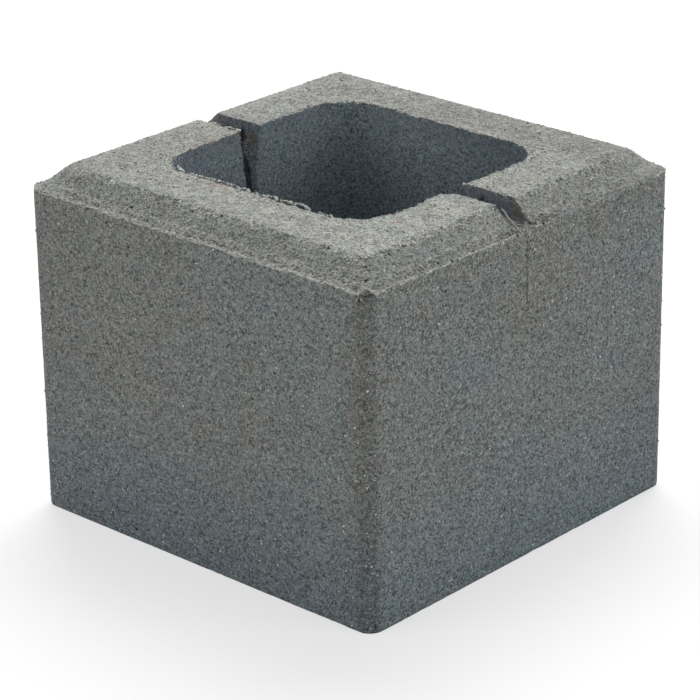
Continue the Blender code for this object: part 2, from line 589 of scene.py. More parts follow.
class Zone(Enum):
    """The parts of the block. Each row is a coordinate, where a part starts and where it is full."""

    CROWN = ((Along.Z, LIP - 0.0012, LIP - 0.0004), (Along.OUT, BORE - 0.0004, BORE + 0.0004))
    BELOW_LIP = ((Along.Z, LIP, LIP - 0.0015),)
    LEDGE = CROWN + ((Along.OUT, 0.1180, 0.1205), (Along.OUT, 0.1242, 0.1236))
    BED = CROWN + ((Along.Z, TOP - 0.0013, TOP - 0.0005),)
    BED_BACK = BED + ((Along.Y, 0.070, 0.090),)
    BED_BACK_RIGHT = BED_BACK + ((Along.X, -0.055, 0.010),)
    BED_LEFT = BED + ((Along.X, -0.072, -0.080),)
    BED_LEFT_BACK = BED_LEFT + ((Along.Y, -0.105, 0.085),)
    BED_RIGHT = BED + ((Along.X, 0.072, 0.080),)
    BED_RIGHT_BACK = BED_RIGHT + ((Along.Y, -0.020, 0.040),)
    RIGHT_BEVEL = CROWN + ((Along.X, 0.110, 0.112),)
    RIGHT_BEVEL_FOOT = RIGHT_BEVEL + ((Along.OUT, 0.1163, 0.1185),)
    LEFT_FACE = ((Along.Y, -0.120, -0.124),)
    LEFT_END = LEFT_FACE + ((Along.X, -0.060, -0.110),)
    LEFT_TOP = LEFT_FACE + ((Along.X, 0.030, -0.030), (Along.Z, 0.045, 0.105))
    RIGHT_FACE = ((Along.X, HALF - 0.0010, HALF - 0.0004),)
    RIGHT_END = RIGHT_FACE + ((Along.Y, 0.050, 0.110), (Along.Z, 0.135, 0.055))
    RIGHT_TOP = RIGHT_FACE + ((Along.Z, 0.166, 0.186),)
    UNDER_GROOVE = RIGHT_FACE + ((Along.OFF_STAIN, 0.062, 0.002), (Along.Z, 0.095, 0.155))
    SEAM = RIGHT_FACE + ((Along.Z, 0.128, 0.158),)
    FRONT_EDGE = BELOW_LIP + ((Along.X, 0.104, 0.114), (Along.Y, -0.113, -0.119))
    UPRIGHTS = BELOW_LIP + ((Along.ROUND, 0.2380, 0.2410),)
    FRONT_UPRIGHT = BELOW_LIP + ((Along.SUM, -0.0098, -0.0058), (Along.SUM, 0.0065, 0.0053),
                                 (Along.DIFFERENCE, 0.2360, 0.2380))
    FOOT = ((Along.Z, 0.088, 0.0), (Along.OUT, 0.120, 0.123))
    FOOT_BUT_RIGHT = FOOT + ((Along.X, HALF - 0.0004, HALF - 0.0010),)
    BELOW_TOP = ((Along.Z, TOP - 0.0010, TOP - 0.0022),)
    BORE_WALLS = ((Along.OUT, BORE + 0.0016, BORE + 0.0010),)
    BORE_DEPTH = ((Along.Z, 0.196, 0.116),)
    BORE_FAR_CORNER = ((Along.X, -0.010, 0.050), (Along.Y, 0.060, 0.070))
    NOTCH = ((Along.OFF_Y, 0.0088, 0.0083), (Along.OFF_X, 0.0700, 0.0710), (Along.OFF_X, 0.0898, 0.0892),
             (Along.Z, PLAN.notch_foot - 0.002, PLAN.notch_foot + 0.002))
    NOTCH_HEAD = NOTCH + ((Along.Z, 0.178, 0.184), (Along.Z, 0.1965, 0.1935), (Along.OFF_X, 0.0768, 0.0780))
    NOTCH_INSIDE = NOTCH + ((Along.Z, TOP - 0.002, TOP - 0.007),)
    GROOVE = ((Along.OFF_Y, 0.0081, 0.0077), (Along.OFF_X, 0.0760, 0.0780), (Along.OFF_X, 0.1210, 0.1170),
              (Along.Z, 0.1885, 0.1895), (Along.Z, 0.2013, 0.2005))
    GROOVE_OUTLET = GROOVE + ((Along.OFF_X, 0.106, 0.112), (Along.OFF_X, 0.120, 0.116))


class Zones:
    """The block's parts on one bench, each as a reading that is 1 within it and 0 outside."""

    def __init__(self, bench: Bench) -> None:
        """Work out the coordinates once for all the parts.

        Args:
            bench: The bench of the material.
        """
        self.bench = bench
        self.place = bench.place()
        x, y, z = bench.parts(self.place)
        self.along = {
            Along.X: x, Along.Y: y, Along.Z: z, Along.OFF_X: abs(x), Along.OFF_Y: abs(y),
            Along.OFF_STAIN: abs(y - 0.010), Along.OUT: abs(x).most(abs(y)),
            Along.ROUND: abs(x) + abs(y), Along.SUM: x + y, Along.DIFFERENCE: x - y}

    def __getitem__(self, zone: Zone) -> Reading:
        """Return one part."""
        return reduce(Reading.__mul__, [self.along[along].step(*ends) for along, *ends in zone.value])

    def noise(self, size: float, detail: float = 2.0, roughness: float = 0.5) -> Reading:
        """Return soft noise over the block."""
        return self.bench.noise(self.place, size, detail, roughness)

    def warm(self) -> Reading:
        """Return the browner parts of the sides: upper left, top right and under the groove."""
        return self[Zone.LEFT_TOP].most(self[Zone.UNDER_GROOVE]).most(self[Zone.RIGHT_TOP] * 0.85)

    def uprights(self) -> Reading:
        """Return where painted shade falls on the rounded upright edges, the front one more strongly than
        the others.
        """
        return self[Zone.FRONT_UPRIGHT].most(self[Zone.UPRIGHTS] * 0.3)

    def hollow(self) -> Reading:
        """Return the hollow's faces with their notches, below the top bed."""
        return self[Zone.BORE_WALLS].most(self[Zone.NOTCH]) * self[Zone.BELOW_TOP]

    def notch_shade(self) -> Reading:
        """Measure how deep a place lies in the notches, where shade is painted into the colour.

        Returns:
            1 from three quarters of the notches' depth on, and 0 up to the middle of it.
        """
        off_x, z = self.along[Along.OFF_X], self.along[Along.Z]
        wall = BORE - (TOP - z) * math.tan(PLAN.hollow_draft)
        depth = (z - PLAN.notch_foot) * (PLAN.notch_reach / (TOP - PLAN.notch_foot)) + 0.0005
        share = (off_x - wall) / depth - z.step(0.176, 0.186) * 0.30
        return share.step(0.48, 0.72) * self[Zone.NOTCH_INSIDE]


@dataclass(frozen=True)
class Stain:
    """One small round stain."""

    middle: Triple
    reach: float
    tint: Triple
    strength: float


BLUSH = (0.36, 0.30, 0.25)
RUST = (0.44, 0.21, 0.10)


@dataclass(frozen=True)
class DryConcrete:
    """The pressed concrete: crushed stone of up to 3 mm in grey cement."""

    grey: Triple = (0.256, 0.277, 0.269)
    brown: Triple = (0.264, 0.264, 0.243)
    blue: Triple = (0.240, 0.271, 0.280)
    pale: Triple = (0.333, 0.336, 0.311)
    hollow: Triple = (0.219, 0.260, 0.290)
    groove_shade: Triple = (0.160, 0.172, 0.200)
    foot_tint: Triple = (0.226, 0.270, 0.293)
    umber: Triple = (0.236, 0.208, 0.174)
    cool: Triple = (0.970, 1.010, 1.000)
    warm: Triple = (1.024, 0.994, 1.004)
    patches: Pair = (0.02, 0.26)
    fines_and_light_facing_up: Pair = (0.45, 0.95)
    sand: float = 0.00072
    stones: float = 0.00150
    pores: float = 0.0016
    darkest: float = 0.14
    roughness: float = 0.93
    bump: float = 0.00045
    shades: tuple[tuple[Zone, float], ...] = (
        # Painted shade: the ledge is darkened for the small shadows in its coarse grain.
        (Zone.LEDGE, 0.14), (Zone.FRONT_EDGE, 0.06), (Zone.FOOT_BUT_RIGHT, 0.10), (Zone.LEFT_END, 0.05),
        (Zone.RIGHT_END, 0.11), (Zone.RIGHT_BEVEL, 0.02), (Zone.RIGHT_BEVEL_FOOT, 0.07),
        (Zone.BED_BACK, 0.10), (Zone.BED_BACK_RIGHT, 0.09), (Zone.BED_LEFT, 0.10),
        (Zone.BED_LEFT_BACK, -0.07), (Zone.BED_RIGHT, -0.06), (Zone.BED_RIGHT_BACK, 0.10))
    stains: tuple[Stain, ...] = (
        Stain((0.1250, -0.0120, 0.1875), 0.0090, BLUSH, 0.28),
        Stain((0.1240, 0.0170, 0.1890), 0.0080, BLUSH, 0.20),
        Stain((-0.0202, -0.0765, 0.2020), 0.0110, BLUSH, 0.45),
        Stain((-0.0777, -0.0283, 0.2020), 0.0060, BLUSH, 0.45),
        Stain((0.0875, -0.0604, 0.2018), 0.0034, BLUSH, 0.50),
        Stain((0.0868, -0.0603, 0.2018), 0.0016, RUST, 0.48),
        Stain((0.0900, -0.0612, 0.2018), 0.0013, RUST, 0.36))

    def broad(self, zones: Zones) -> Socket:
        """Lay the broad patches, the difference between the block's sides, the painted light on up-facing
        faces and the painted shade in the hollow and the groove.

        Args:
            zones: The block's parts.

        Returns:
            The colour before the stains and the grain.
        """
        bench = zones.bench
        drift = zones.noise(0.050, 3.0, 0.6)
        cloud = zones.noise(0.019, 3.0, 0.6) * 0.5
        up = bench.parts(bench.node("ShaderNodeNewGeometry", {}, {}).outputs["Normal"])[2]
        colour = rgba(self.grey)
        for share, tint in (((drift + cloud).step(*self.patches), self.brown),
                            ((cloud - drift).step(*self.patches), self.blue),
                            (zones[Zone.FRONT_EDGE] * 0.50, self.brown),
                            (zones.warm() * 0.60, self.brown),
                            # Bluer towards the bottom of the sides.
                            (zones[Zone.FOOT] * (0.95 - zones[Zone.LEFT_END] * 0.5), self.foot_tint),
                            # Paler where the surface faces up: partly the pressed fines of the top, partly
                            # painted light from above.
                            (up.step(*self.fines_and_light_facing_up), self.pale),
                            # Painted shade: the hollow's faces and notches take a darker, bluer colour.
                            (zones.hollow(), self.hollow),
                            # Painted shade: the groove's faces are painted dark and bluish.
                            (zones[Zone.GROOVE] * 0.85, self.groove_shade)):
            colour = bench.mix(share, colour, rgba(tint))
        veil = zones.noise(0.0065).step(-0.16, 0.16)
        return bench.mix(1.0, colour, bench.mix(veil, rgba(self.cool), rgba(self.warm)), Blend.MULTIPLY)

    def stained(self, zones: Zones) -> Socket:
        """Lay the small stains over the broad colour.

        Args:
            zones: The block's parts.

        Returns:
            The stained colour.
        """
        bench = zones.bench
        patchy = zones.noise(0.0030)
        lumps = patchy.step(-0.10, 0.04) * zones[Zone.NOTCH_HEAD] * 0.90
        colour = bench.mix(lumps, self.broad(zones), rgba(self.umber))
        colour = bench.mix(zones[Zone.GROOVE_OUTLET] * 0.6, colour, rgba(self.umber))
        for stain in self.stains:
            away = bench.distance(zones.place, stain.middle) + patchy * (stain.reach * 0.9)
            share = away.step(stain.reach, stain.reach * 0.3) * stain.strength
            colour = bench.mix(share, colour, rgba(stain.tint))
        return colour

    def tone(self, zones: Zones, grain: Reading) -> Reading:
        """Shade the block's parts.

        Args:
            zones: The block's parts.
            grain: The finest noise.

        Returns:
            How light each part is beside its broad colour, before the fine grain.
        """
        # Painted shade darkens the rounded upright edges, the front one most.
        tone = 1.0 - zones.uprights() * 0.16
        for zone, strength in self.shades:
            tone = tone - zones[zone] * strength
        # Painted shade: the hollow's faces darken with depth and towards its far corner.
        sunk = zones[Zone.BORE_DEPTH] * 0.22 + zones[Zone.BORE_FAR_CORNER] * 0.24
        chip = zones.bench.distance(zones.place, (0.1215, -0.1225, 0.1860)).step(0.0075, 0.0030)
        under = zones.along[Along.Z].step(LIP - 0.0005, LIP - 0.0015)
        seam = abs(zones.along[Along.Y] + grain * 0.0012).step(0.0012, 0.0007) * (grain + 0.42).held()
        tone = tone - zones.hollow() * sunk - chip * under * 0.14
        tone = tone - seam * zones[Zone.SEAM] * 0.80
        # Painted shade: the deep part of the notches is darkened almost to black.
        return tone * (1.0 - zones.notch_shade() * 0.80)

    def build(self) -> bpy.types.Material:
        """Wire the material.

        Returns:
            The material.
        """
        bench = Bench.material("dry_pressed_concrete")
        zones = Zones(bench)
        crown, bed, right = zones[Zone.CROWN], zones[Zone.BED], zones[Zone.RIGHT_BEVEL]
        sand_gap, sand_tone, sand_kind, _ = bench.cells(zones.place, self.sand)
        stone_gap, stone_tone, stone_kind, _ = bench.cells(zones.place, self.stones)
        grain = zones.noise(0.0011, 2.0, 0.6)
        pores = bench.spots(zones.place, self.pores, 0.30, (0.16, 0.40), 0.16)
        speckle = (sand_tone - 0.5) * 1.05 + (stone_tone - 0.5) * 0.52 + grain
        speckle = speckle * (0.98 - crown * 0.30 - bed * 0.22 - right * 0.18 + zones[Zone.RIGHT_FACE] * 0.07)
        speckle = speckle + zones.noise(0.0040) * (0.27 + bed * 0.66 - right * 0.14)
        speckle = speckle + zones.noise(0.0095) * bed * 0.42 - pores * 0.24
        tone = self.tone(zones, grain) * (1.02 + speckle)
        height = grain * 1.1 + (sand_kind - 0.5) * 0.5 + (stone_kind - 0.5) * 0.6
        height = height - sand_gap * 0.35 - stone_gap * 0.5 - pores * 0.8
        colour = bench.scaled(self.stained(zones), tone.most(self.darkest))
        return bench.stone(colour, (self.roughness + grain * 0.08).held(), height, self.bump)


@dataclass(frozen=True)
class SqueezedFines:
    """The paler cement and fine sand that squeezes out past the mould and the shoe."""

    name: str = "squeezed_fines"
    pale: Triple = (0.500, 0.500, 0.465)
    dull: Triple = (0.330, 0.326, 0.300)
    roughness: float = 0.95
    bump: float = 0.00015

    def build(self) -> bpy.types.Material:
        """Wire the material.

        Returns:
            The material.
        """
        bench = Bench.material(self.name)
        place = bench.place()
        sand = bench.noise(place, 0.0007, 1.0)
        drift = bench.noise(place, 0.0040).step(-0.05, 0.25)
        colour = bench.mix(drift, rgba(self.pale), rgba(self.dull))
        colour = bench.scaled(colour, (1.0 + sand * 0.5).most(0.3))
        return bench.stone(colour, (self.roughness + sand * 0.06).held(), sand, self.bump)


@dataclass(frozen=True)
class LooseStone:
    """The stones that show singly, some darker than the cement, some paler, and the black lumps of painted
    shade in pits.
    """

    name: str
    common: Triple
    rare: Triple
    roughness: float = 0.9

    def build(self) -> bpy.types.Material:
        """Wire the material.

        Returns:
            The material.
        """
        bench = Bench.material(self.name)
        choice = bench.noise(bench.place(), 0.0060, 1.0).step(0.02, 0.12)
        return bench.stone(bench.mix(choice, rgba(self.common), rgba(self.rare)), self.roughness)


@dataclass(frozen=True)
class PaleFloor:
    """A plain white studio floor that keeps the block's shadow."""

    bounce: float = 0.42
    shown: float = 0.35
    glow: float = 0.62

    def build(self) -> bpy.types.Material:
        """Wire the material.

        Returns:
            The material.
        """
        bench = Bench.material("pale_floor")
        hidden = bench.node("ShaderNodeBsdfDiffuse", {}, {"Color": rgba((self.bounce,) * 3)})
        lit = bench.node("ShaderNodeBsdfDiffuse", {}, {"Color": rgba((self.shown,) * 3)})
        glow = bench.node("ShaderNodeEmission", {}, {"Color": rgba(WHITE), "Strength": self.glow})
        both = bench.node("ShaderNodeAddShader", {}, {0: lit.outputs[0], 1: glow.outputs[0]})
        sockets = bench.split(tuple(Ray), hidden.outputs[0], both.outputs[0])
        return bench.finish("ShaderNodeOutputMaterial", "ShaderNodeMixShader", sockets)


def unit(rows: np.ndarray) -> np.ndarray:
    """Scale each row to a length of 1."""
    return rows / (np.linalg.norm(rows, axis=1, keepdims=True) + 1e-12)


def boxed(points: np.ndarray) -> np.ndarray:
    """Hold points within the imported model's box."""
    return np.clip(points, np.array(CAD_BOX[0]), np.array(CAD_BOX[1]))


def taper(count: int, tip: float, reach: float) -> np.ndarray:
    """Return a strand's thickness along it: a tip's share at both ends, and 1 further in."""
    ends = np.minimum(np.arange(count), np.arange(count)[::-1])
    return np.clip(tip + ends / reach, 0.0, 1.0)


def followed(corners: np.ndarray, reach: np.ndarray, along: np.ndarray) -> np.ndarray:
    """Return points along a line whose corners lie at the given reaches."""
    return np.stack([np.interp(along, reach, column) for column in corners.T], axis=1)


def rows_of(items: bpy.types.bpy_prop_collection, name: str) -> np.ndarray:
    """Read a property in three parts.

    Args:
        items: The mesh's vertices or normals.
        name: The property's name.

    Returns:
        One row for each item.
    """
    rows = np.zeros(len(items) * 3, np.float32)
    items.foreach_get(name, rows)
    return rows.reshape(-1, 3).astype(float)


def dressed(name: str, mesh: bpy.types.Mesh, material: bpy.types.Material) -> bpy.types.Object:
    """Put a mesh into the scene as one of the block's pieces.

    Args:
        name: The piece's name.
        mesh: Its final mesh.
        material: Its finish.

    Returns:
        The object, riding on the block's body.
    """
    mesh.shade_smooth()
    mesh.materials.clear()
    mesh.materials.append(material)
    piece = bpy.data.objects.new(name, mesh)
    bpy.context.scene.collection.objects.link(piece)
    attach(piece, BODY)
    return piece


class Heap:
    """Closed solids gathered into the mesh of one piece."""

    def __init__(self) -> None:
        """Start empty."""
        self.points: list[np.ndarray] = []
        self.faces: Faces = []
        self.count = 0

    def put(self, points: np.ndarray, faces: Faces) -> None:
        """Add solids, with their faces numbered from 0."""
        self.points.append(points)
        self.faces.extend(tuple(index + self.count for index in face) for face in faces)
        self.count += len(points)

    def strand(self, path: np.ndarray, radii: np.ndarray, sides: int = 6) -> None:
        """Add a thin round strand.

        Args:
            path: The points of its middle line.
            radii: Its radius at each of them.
            sides: The number of sides of its section.
        """
        ahead = unit(np.gradient(path, axis=0))
        across = unit(np.cross(ahead, (0.0, 0.0, 1.0)))
        turns = (np.arange(sides) * 2.0 * math.pi / sides)[:, None]
        ring = np.cos(turns) * across[:, None] + np.sin(turns) * np.cross(across, ahead)[:, None]
        last = (len(path) - 1) * sides
        faces = [tuple(range(sides))[::-1], tuple(range(last, last + sides))]
        for row in range(0, last, sides):
            for side in range(sides):
                beside = row + (side + 1) % sides
                faces.append((row + side, beside, beside + sides, row + side + sides))
        self.put((path[:, None] + ring * radii[:, None, None]).reshape(-1, 3), faces)

    @staticmethod
    def ball(fine: bool) -> tuple[np.ndarray, np.ndarray]:
        """Make a ball with a radius of 1.

        Args:
            fine: Whether it has twenty faces rather than eight.

        Returns:
            Its points and its faces.
        """
        bm = bmesh.new()
        if fine:
            bmesh.ops.create_icosphere(bm, subdivisions=1, radius=1.0)
        else:
            bmesh.ops.create_cone(bm, cap_ends=False, segments=4, radius1=1.0, radius2=0.0, depth=1.0)
            bmesh.ops.translate(bm, verts=bm.verts, vec=(0.0, 0.0, 0.5))
            lower = [vert for vert in bm.verts if vert.co.z < 0.5]
            tip = bm.verts.new((0.0, 0.0, -1.0))
            lower.sort(key=lambda vert: math.atan2(vert.co.y, vert.co.x))
            for first, second in zip(lower, lower[1:] + lower[:1]):
                bm.faces.new((second, first, tip))
        bm.verts.index_update()
        points = np.array([vert.co for vert in bm.verts])
        faces = np.array([[vert.index for vert in face.verts] for face in bm.faces])
        bm.free()
        return points, faces

    def grains(self, middles: np.ndarray, sizes: np.ndarray, draw: np.random.Generator,
               fine: bool = True) -> None:
        """Add lumpy grains.

        Args:
            middles: Their middles, three numbers to a row.
            sizes: Their radii.
            draw: The source of their shapes.
            fine: Whether each has twenty faces rather than eight.
        """
        points, faces = self.ball(fine)
        count = len(middles)
        w, x, y, z = unit(draw.normal(size=(count, 4))).T
        turns = np.stack([
            1 - 2 * (y * y + z * z), 2 * (x * y - z * w), 2 * (x * z + y * w),
            2 * (x * y + z * w), 1 - 2 * (x * x + z * z), 2 * (y * z - x * w),
            2 * (x * z - y * w), 2 * (y * z + x * w), 1 - 2 * (x * x + y * y)], axis=1)
        lumpy = points[None] * draw.uniform(0.65, 1.25, (count, 1, 3))
        lumpy = lumpy * draw.uniform(0.82, 1.15, (count, len(points), 1)) * sizes[:, None, None]
        turned = np.einsum("nij,npj->npi", turns.reshape(-1, 3, 3), lumpy) + middles[:, None, :]
        starts = np.arange(count)[:, None, None] * len(points)
        self.put(turned.reshape(-1, 3), (faces + starts).reshape(-1, 3).tolist())

    def piece(self, name: str, material: bpy.types.Material) -> bpy.types.Object:
        """Make the object.

        Args:
            name: The piece's name.
            material: Its finish.

        Returns:
            The object, in the scene and riding on the block's body.
        """
        mesh = bpy.data.meshes.new(name)
        mesh.from_pydata(boxed(np.concatenate(self.points)).tolist(), [], self.faces)
        bm = bmesh.new()
        bm.from_mesh(mesh)
        bmesh.ops.recalc_face_normals(bm, faces=bm.faces)
        bm.to_mesh(mesh)
        bm.free()
        return dressed(name, mesh, material)


@dataclass(frozen=True)
class Crumbling:
    """How an edge of the crown breaks away, measured from the edge."""

    full: float
    reach: float
    evenly: float
    lumps: Layers
    fines: float


@dataclass
class CastBlock:
    """The casting itself, with its worn edges, its coarse crown and its pits."""

    noise: Noise
    voxel: float = 0.00090
    triangles: int = 196_000
    weld: float = 1e-6
    keep_factor: float = 0.0002
    rounding: tuple[int, int, int] = (5, 10, 26)
    even_wear: float = 0.45
    calm_wear: float = 0.35
    wear: Layers = ((0.0042, 1, 0.45), (0.0021, 2, 0.50))
    nicks: Layers = ((0.0034, 6, 1.0), (0.0017, 7, 0.4))
    nick_levels: Pair = (0.20, 0.60)
    nick_depth: float = 0.8
    chips: Layers = ((0.0085, 3, 1.0), (0.0030, 4, 0.35))
    chip_levels: Pair = (0.45, 0.75)
    fill_start: float = 0.0015
    fill_slope: float = 0.55
    fill_grain: float = 0.0004
    lip_drop: float = 0.0007
    outlet_drop: float = 0.0029
    edge_drop: float = 0.0010
    bed_edge: Crumbling = Crumbling(0.0004, 0.0036, 0.30, ((0.0031, 14, 0.60),), 0.55)
    rim_edge: Crumbling = Crumbling(0.0003, 0.0030, 0.10, ((0.0036, 15, 0.80),), 0.50)
    face_grain: float = 0.00007
    crown_grain: float = 0.00021
    crown_band: Pair = (0.1865, 0.1895)
    coarse: Layers = ((0.0021, 11, 0.50), (0.0038, 12, 0.40))
    skin: float = 0.00022
    waves: Layers = ((0.0095, 13, 0.00008),)
    crown_pits: Scatter = Scatter(0.00068, 0.0072, 0.55, (0.0008, 0.0021), 20)
    stray_pits: Scatter = Scatter(0.00050, 0.0150, 0.50, (0.0009, 0.0026), 30)
    co: np.ndarray = field(init=False, repr=False)
    normals: np.ndarray = field(init=False, repr=False)
    surface: BVHTree = field(init=False, repr=False)

    def dense_copy(self) -> bpy.types.Mesh:
        """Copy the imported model's mesh.

        Returns:
            The copy, with small and even faces.
        """
        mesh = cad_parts[NODE].data.copy()
        bm = bmesh.new()
        bm.from_mesh(mesh)
        bmesh.ops.remove_doubles(bm, verts=bm.verts, dist=self.weld)
        bm.to_mesh(mesh)
        bm.free()
        return self.modified(mesh, "REMESH", {"mode": "VOXEL", "voxel_size": self.voxel})

    @staticmethod
    def modified(mesh: bpy.types.Mesh, kind: str, settings: dict[str, object]) -> bpy.types.Mesh:
        """Run one modifier on a mesh.

        Args:
            mesh: The mesh, which is used up.
            kind: The modifier's type.
            settings: Its properties.

        Returns:
            The new mesh.
        """
        carrier = bpy.data.objects.new("carrier", mesh)
        bpy.context.scene.collection.objects.link(carrier)
        modifier = carrier.modifiers.new(kind.lower(), kind)
        for name, value in settings.items():
            setattr(modifier, name, value)
        graph = bpy.context.evaluated_depsgraph_get()
        made = bpy.data.meshes.new_from_object(carrier.evaluated_get(graph), depsgraph=graph)
        bpy.data.objects.remove(carrier, do_unlink=True)
        return made

    @staticmethod
    def relaxed(co: np.ndarray, edges: np.ndarray, rounds: int) -> np.ndarray:
        """Move each vertex towards the middle of its neighbours.

        Args:
            co: The vertices.
            edges: The two vertices of each edge.
            rounds: How many times they move, half of the way each time.

        Returns:
            The moved vertices.
        """
        first, second = edges.T
        count = np.bincount(edges.ravel(), minlength=len(co))[:, None]
        for _ in range(rounds):
            total = np.stack([
                np.bincount(first, co[second, axis], len(co))
                + np.bincount(second, co[first, axis], len(co)) for axis in range(3)], axis=1)
            co = 0.5 * (co + total / count)
        return co

    def worn(self, co: np.ndarray, edges: np.ndarray) -> np.ndarray:
        """Round and chip the edges unevenly, as handling does.

        Args:
            co: The vertices.
            edges: The two vertices of each edge.

        Returns:
            The moved vertices.
        """
        few, more, most = self.rounding
        near = self.relaxed(co, edges, few)
        middle = self.relaxed(near, edges, more)
        far = self.relaxed(middle, edges, most)
        rough = 1.0 - PLAN.calm(co)
        wear = np.clip(self.even_wear + self.noise.layered(co, self.wear), 0.0, 1.0)
        wear = self.calm_wear + (wear - self.calm_wear) * rough
        nicks = self.nick_depth * rough * fade(self.noise.layered(co, self.nicks), *self.nick_levels)
        chips = rough * fade(self.noise.layered(co, self.chips), *self.chip_levels)
        for smoother, share in ((near, wear), (middle, nicks), (far, chips)):
            co = co + (smoother - co) * share[:, None]
        return co

    def crumbled(self, co: np.ndarray) -> np.ndarray:
        """Fill the lip's inner corner with grit, and break the crown's upper edges.

        Args:
            co: The vertices.

        Returns:
            The moved vertices.
        """
        noise, depth, rough = self.noise, PLAN.depth(co), 1.0 - PLAN.calm(co)
        co = co.copy()
        fine, broad = noise.smooth(co, 0.0022, 8), noise.smooth(co, 0.0060, 9)
        # Over the +X face the grit reaches the lip's edge, which is rounder there.
        right = fade(co[:, 0], 0.1050, 0.1130) * fade(co[:, 1], -0.092, -0.080)
        start = self.fill_start + 0.0005 * broad + 0.0004 * fine - right * 0.0019
        rise = LIP - right * 0.0006 + (self.fill_slope - 0.03 * right) * (depth - start)
        rise = rise + self.fill_grain * (noise.smooth(co, 0.0013, 10) + fine)
        in_lip = fade(co[:, 2], LIP - 0.0016, LIP - 0.0004)
        in_lip *= fade(-depth, -0.0080, -0.0058) * fade(depth, -0.0002, 0.0004)
        lip_edge = right * fade(-depth, -0.0016, 0.0) * fade(co[:, 2], 0.1880, 0.1897)
        co[:, 2] += np.maximum(0.0, rise - co[:, 2]) * in_lip - self.lip_drop * lip_edge * (1.0 + fine)
        # The groove's outlet over the +X face, then the bed's outer edge and the hollow's rim
        outlet = fade(co[:, 0], 0.1125, 0.1235) * fade(-np.abs(co[:, 1] - 0.0006), -0.0070, -0.0040)
        co[:, 2] -= self.outlet_drop * outlet * (1.0 + 0.25 * fine) * fade(co[:, 2], 0.1790, 0.1895)
        for edge, inward, share in ((self.bed_edge, depth - PLAN.bed_inset, rough),
                                    (self.rim_edge, PLAN.wall(co), 1.0)):
            near = fade(-np.hypot(inward, co[:, 2] - TOP), -edge.reach, -edge.full)
            broken = np.clip(edge.evenly + noise.layered(co, edge.lumps) + edge.fines * fine, 0.0, 1.0)
            co[:, 2] -= self.edge_drop * broken * share * near
        return co

    @staticmethod
    def dents(co: np.ndarray) -> np.ndarray:
        """Measure the pits and chips that have their own places.

        Args:
            co: The vertices.

        Returns:
            How far each vertex sinks.
        """
        sunk = np.zeros(len(co))
        for mark in PITS + CHIPS:
            away = np.linalg.norm(co - np.array(mark.place), axis=1) / mark.radius
            sunk = np.maximum(sunk, mark.depth * np.clip(1.0 - away ** 2, 0.0, 1.0))
        return sunk

    def grain(self, co: np.ndarray, up: np.ndarray) -> np.ndarray:
        """Measure the open grain, and the pits that lie anywhere.

        Args:
            co: The vertices.
            up: How far the surface faces up at each of them.

        Returns:
            How far each vertex sinks.
        """
        noise, rough = self.noise, 1.0 - PLAN.calm(co)
        crown = fade(co[:, 2], *self.crown_band) * fade(PLAN.wall(co), -0.0005, 0.0005)
        level = self.face_grain + (self.crown_grain - self.face_grain) * crown
        level = level * (1.0 - 0.35 * fade(up, 0.8, 0.97)) * (0.5 + 0.5 * rough)
        sunk = level * (1.0 + noise.layered(co, self.coarse)) + self.skin * (1.0 + crown)
        sunk += noise.layered(co, self.waves) + noise.pits(co, self.stray_pits)
        sunk += crown * rough * noise.pits(co, self.crown_pits)
        return sunk * fade(up, -0.95, -0.80)

    @staticmethod
    def moved(mesh: bpy.types.Mesh, co: np.ndarray) -> np.ndarray:
        """Move a mesh's vertices and return their new normals."""
        mesh.vertices.foreach_set("co", co.astype(np.float32).ravel())
        mesh.update()
        return rows_of(mesh.vertex_normals, "vector")

    def thinned(self, mesh: bpy.types.Mesh, co: np.ndarray) -> bpy.types.Mesh:
        """Take triangles out of the plain faces and leave the crown as it is.

        Args:
            mesh: The dense mesh.
            co: Its vertices.

        Returns:
            The mesh with no more triangles than the casting may have.
        """
        carrier = bpy.data.objects.new("thinning", mesh)
        keep = fade(co[:, 2], 0.185, 0.189) * fade(PLAN.wall(co), -0.002, -0.001)
        plain = np.flatnonzero(keep < 0.5).tolist()
        carrier.vertex_groups.new(name="spare").add(plain, 1.0, "REPLACE")
        bpy.data.objects.remove(carrier, do_unlink=True)
        return self.modified(mesh, "DECIMATE", {
            "ratio": self.triangles / (2.0 * len(mesh.polygons)), "use_collapse_triangulate": True,
            "vertex_group": "spare", "vertex_group_factor": self.keep_factor})

    def build(self, material: bpy.types.Material) -> bpy.types.Object:
        """Make the casting's piece.

        Args:
            material: Its finish.

        Returns:
            The object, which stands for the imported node.
        """
        mesh = self.dense_copy()
        edges = np.zeros(len(mesh.edges) * 2, np.int32)
        mesh.edges.foreach_get("vertices", edges)
        co = self.crumbled(self.worn(rows_of(mesh.vertices, "co"), edges.reshape(-1, 2)))
        normals = self.moved(mesh, co)
        sunk = self.dents(co) + self.grain(co, normals[:, 2])
        co = boxed(co - normals * sunk[:, None])
        self.moved(mesh, co)
        mesh = self.thinned(mesh, co)
        self.moved(mesh, boxed(rows_of(mesh.vertices, "co")))
        piece = dressed("cast_block", mesh, material)
        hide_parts(NODE)
        self.co = rows_of(mesh.vertices, "co")
        self.normals = rows_of(mesh.vertex_normals, "vector")
        self.surface = BVHTree.FromPolygons([vert.co for vert in mesh.vertices],
                                            [face.vertices for face in mesh.polygons])
        return piece

    def level_at(self, x: float, y: float) -> float:
        """Return the height of the casting's surface at a point in plan."""
        hit = self.surface.ray_cast(Vector((x, y, 0.3)), Vector((0.0, 0.0, -1.0)))[0]
        return hit.z if hit else LIP


